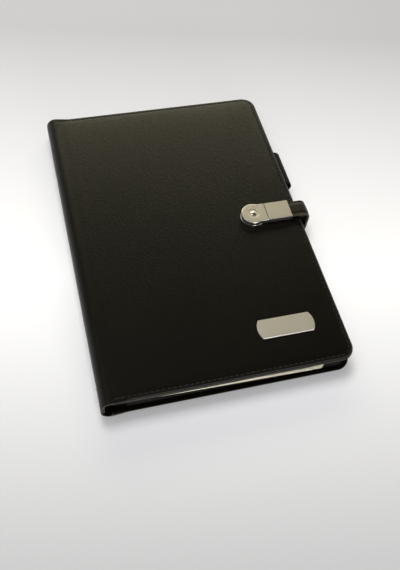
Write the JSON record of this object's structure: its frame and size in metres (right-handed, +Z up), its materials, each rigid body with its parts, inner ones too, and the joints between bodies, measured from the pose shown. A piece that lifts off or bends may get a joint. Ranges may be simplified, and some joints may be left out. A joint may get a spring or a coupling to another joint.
{
  "type": "power bank organizer",
  "caption": "Leather ring organizer with padded covers, a power bank inside the front cover, a name plate and a strap whose metal clasp is a memory stick.",
  "frame": {"origin": "centre of the back cover's underside, on the surface that the closed organizer lies on", "axes": "+X from the spine to the fore-edge, +Y from the bottom edge to the top edge, +Z up out of the front cover"},
  "size_m": [0.1739, 0.245, 0.0236],
  "materials": {
    "cover_leather": "smooth satin leather, padded and stitched at the edges",
    "strap_leather": "satin leather strap with two stitched lines",
    "strap_backing": "split leather backing",
    "lining_cloth": "fine woven lining",
    "grey_board": "pressed grey board",
    "foam": "thin closed-cell padding",
    "satin_nickel": "brushed and nickel plated",
    "bright_nickel": "polished nickel plate",
    "ring_steel": "polished nickel plate on spring steel",
    "panel_leather": "fine grained black leather",
    "paper": "uncoated cream writing paper",
    "black_plastic": "fine textured moulding",
    "button_plastic": "polished moulding",
    "light_pipe": "clear frosted light guide",
    "cell_foil": "matt laminated foil pouch",
    "circuit_green": "lacquered glass-fibre board",
    "socket_steel": "bright nickel-plated sheet",
    "elastic_band": "woven black elastic",
    "magnet_nickel": "nickel-plated magnet",
    "chip_black": "moulded chip with gold contacts"
  },
  "bodies": {
    "back_cover": {"back_leather": "cover_leather", "back_board": "grey_board", "back_lining": "lining_cloth", "pen_loop": "elastic_band", "strap_tail": "strap_leather"},
    "spine": {"spine_leather": "cover_leather", "spine_board": "grey_board", "spine_lining": "lining_cloth", "ring_channel": "ring_steel", "spine_rivets": "bright_nickel", "lever_pins": "ring_steel"},
    "front_cover": {"front_leather": "cover_leather", "front_foam": "foam", "front_board": "grey_board", "front_lining": "lining_cloth", "snap_base": "bright_nickel", "snap_washer": "ring_steel", "name_plate": "satin_nickel", "pocket_panel": "panel_leather", "card_pockets": "panel_leather", "bank_tray": "black_plastic", "bank_lid": "black_plastic", "charge_lights": "light_pipe", "battery_cells": "cell_foil", "circuit_board": "circuit_green", "usb_a_socket": "socket_steel", "usb_c_socket": "socket_steel"},
    "power_button": {"power_button": "button_plastic"},
    "rings_upper": {"ring_blade_upper": "ring_steel", "ring_wires_upper": "ring_steel"},
    "rings_lower": {"ring_blade_lower": "ring_steel", "ring_wires_lower": "ring_steel"},
    "lever_bottom": {"lever_bottom": "ring_steel"},
    "lever_top": {"lever_top": "ring_steel"},
    "pages": {"page_block": "paper"},
    "strap": {"strap_leather": "strap_leather", "strap_lining": "strap_backing"},
    "clasp": {"clasp_leather": "strap_leather", "clasp_lining": "strap_backing", "clasp_cap": "satin_nickel"},
    "stick": {"stick_body": "satin_nickel", "stick_chip": "chip_black", "stick_magnet": "magnet_nickel", "stick_rivet": "bright_nickel"}
  },
  "joints": [
    {"name": "spine_fold", "type": "hinge", "parent": "back_cover", "child": "spine", "pos_m": [-0.08243, 0, 0.00107], "axis": [0, -1, 0], "range_deg": [0, 90]},
    {"name": "front_cover_fold", "type": "hinge", "parent": "spine", "child": "front_cover", "pos_m": [-0.08243, 0, 0.01743], "axis": [0, -1, 0], "range_deg": [0, 90]},
    {"name": "page_turn", "type": "hinge", "parent": "spine", "child": "pages", "pos_m": [-0.0741, 0, 0.00925], "axis": [0, -1, 0], "range_deg": [-90, 0]},
    {"name": "ring_opening", "type": "hinge", "parent": "spine", "child": "rings_upper", "pos_m": [-0.0789, 0, 0.00925], "axis": [0, -1, 0], "range_deg": [0, 16]},
    {"name": "ring_opening_lower", "type": "hinge", "parent": "spine", "child": "rings_lower", "pos_m": [-0.0789, 0, 0.00925], "axis": [0, 1, 0], "range_deg": [0, 16]},
    {"name": "bottom_lever_tilt", "type": "hinge", "parent": "spine", "child": "lever_bottom", "pos_m": [-0.0789, -0.1145, 0.00925], "axis": [0, 0, -1], "range_deg": [0, 24]},
    {"name": "top_lever_tilt", "type": "hinge", "parent": "spine", "child": "lever_top", "pos_m": [-0.0789, 0.1145, 0.00925], "axis": [0, 0, 1], "range_deg": [0, 24]},
    {"name": "strap_fold", "type": "hinge", "parent": "back_cover", "child": "strap", "pos_m": [0.08943, 0, 0.00097], "axis": [0, 1, 0], "range_deg": [0, 86]},
    {"name": "clasp_fold", "type": "hinge", "parent": "strap", "child": "clasp", "pos_m": [0.08943, 0, 0.02113], "axis": [0, 1, 0], "range_deg": [0, 86]},
    {"name": "stick_pull", "type": "slide", "parent": "clasp", "child": "stick", "axis": [-1, 0, 0], "range_m": [0, 0.015]},
    {"name": "power_button_press", "type": "slide", "parent": "front_cover", "child": "power_button", "axis": [0, 0, 1], "range_m": [0, 0.0006], "stiffness_N_per_m": 400}
  ],
  "couplings": [
    {"joint": "front_cover_fold", "follows": "spine_fold", "ratio": 1},
    {"joint": "page_turn", "follows": "spine_fold", "ratio": -1},
    {"joint": "ring_opening_lower", "follows": "ring_opening", "ratio": 1},
    {"joint": "bottom_lever_tilt", "follows": "ring_opening", "ratio": 1.5},
    {"joint": "top_lever_tilt", "follows": "ring_opening", "ratio": 1.5},
    {"joint": "clasp_fold", "follows": "strap_fold", "ratio": 1}
  ]
}
